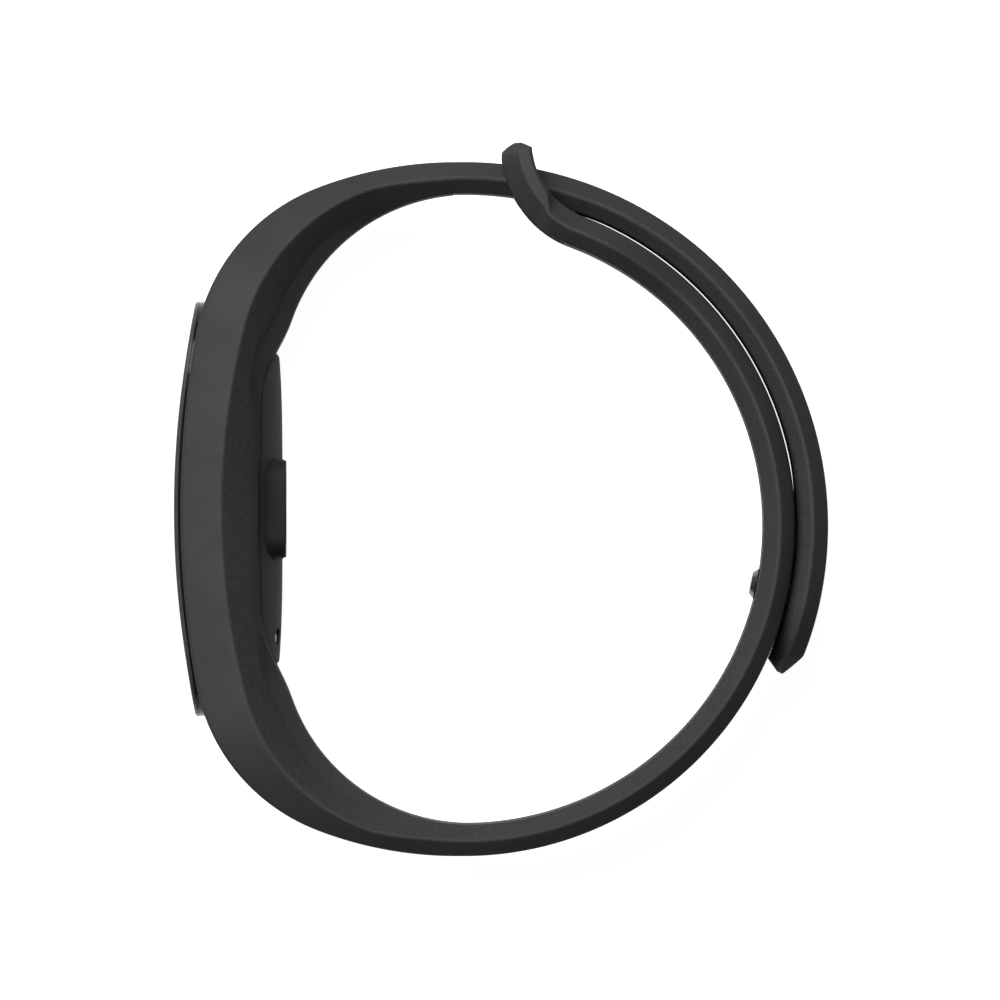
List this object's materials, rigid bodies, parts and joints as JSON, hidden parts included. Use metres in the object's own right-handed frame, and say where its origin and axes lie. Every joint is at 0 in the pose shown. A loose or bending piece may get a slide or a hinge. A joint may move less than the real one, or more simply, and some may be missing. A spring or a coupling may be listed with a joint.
{
  "type": "fitness tracker band",
  "caption": "Closed elastomer wrist band with a removable capsule tracker: curved glossy lens outside, domed back with a raised sensor pad, loop and snap-peg clasp.",
  "frame": {"origin": "middle of the box's bottom face; the band lies on its side on z = 0", "axes": "+X from the display side to the clasp side, +Y towards the arm that carries the loop's end, +Z along the ring's axis"},
  "size_m": [0.0626, 0.068, 0.02],
  "materials": {
    "strap_elastomer": "fine matte, moulded",
    "peg_steel": "dark, polished",
    "lens_glass": "printed black behind, polished",
    "shell_plastic": "fine satin",
    "pad_plastic": "smooth",
    "contact_gold": "gold plated",
    "adhesive": "matte",
    "touch_layer": "clear coated",
    "screen": "polished",
    "carrier_plastic": "moulded",
    "flex_circuit": "amber film",
    "circuit_board": "solder mask",
    "chip_resin": "fine matte",
    "tinned_steel": "tinned",
    "battery_foil": "satin foil",
    "green_led": "clear resin",
    "motor_tungsten": "sintered"
  },
  "bodies": {
    "strap": {"strap_body": "strap_elastomer"},
    "tail": {"strap_tail": "strap_elastomer", "peg_stud": "peg_steel", "peg_washer": "peg_steel", "peg_button": "peg_steel"},
    "capsule": {"front_lens": "lens_glass", "back_shell": "shell_plastic", "sensor_pad": "pad_plastic", "charge_contact_left": "contact_gold", "charge_contact_right": "contact_gold", "antenna_strip": "contact_gold", "lens_adhesive": "adhesive", "touch_film": "touch_layer", "display_panel": "screen", "display_carrier": "carrier_plastic", "board_connector": "carrier_plastic", "light_barrier": "carrier_plastic", "display_flex": "flex_circuit", "sensor_flex": "flex_circuit", "main_board": "circuit_board", "sensor_board": "circuit_board", "battery_board": "circuit_board", "processor_chip": "chip_resin", "memory_chip": "chip_resin", "power_chip": "chip_resin", "motion_sensor": "chip_resin", "photodiode": "chip_resin", "shield_can": "tinned_steel", "clock_crystal": "tinned_steel", "motor_case": "tinned_steel", "battery_cell": "battery_foil", "green_led_left": "green_led", "green_led_right": "green_led"},
    "rotor": {"motor_shaft": "tinned_steel", "motor_weight": "motor_tungsten"}
  },
  "joints": [
    {"name": "tail_peel", "type": "hinge", "parent": "strap", "child": "tail", "pos_m": [0.02868, 0.00588, 0.01], "axis": [0, 0, 1], "range_deg": [0, 45], "stiffness_Nm_per_rad": 0.004},
    {"name": "capsule_lift", "type": "slide", "parent": "strap", "child": "capsule", "axis": [-1, 0, 0], "range_m": [0, 0.015]},
    {"name": "rotor_spin", "type": "hinge", "parent": "capsule", "child": "rotor", "pos_m": [-0.02511, 0.00995, 0.01], "axis": [0, 0, 1], "continuous": true}
  ]
}
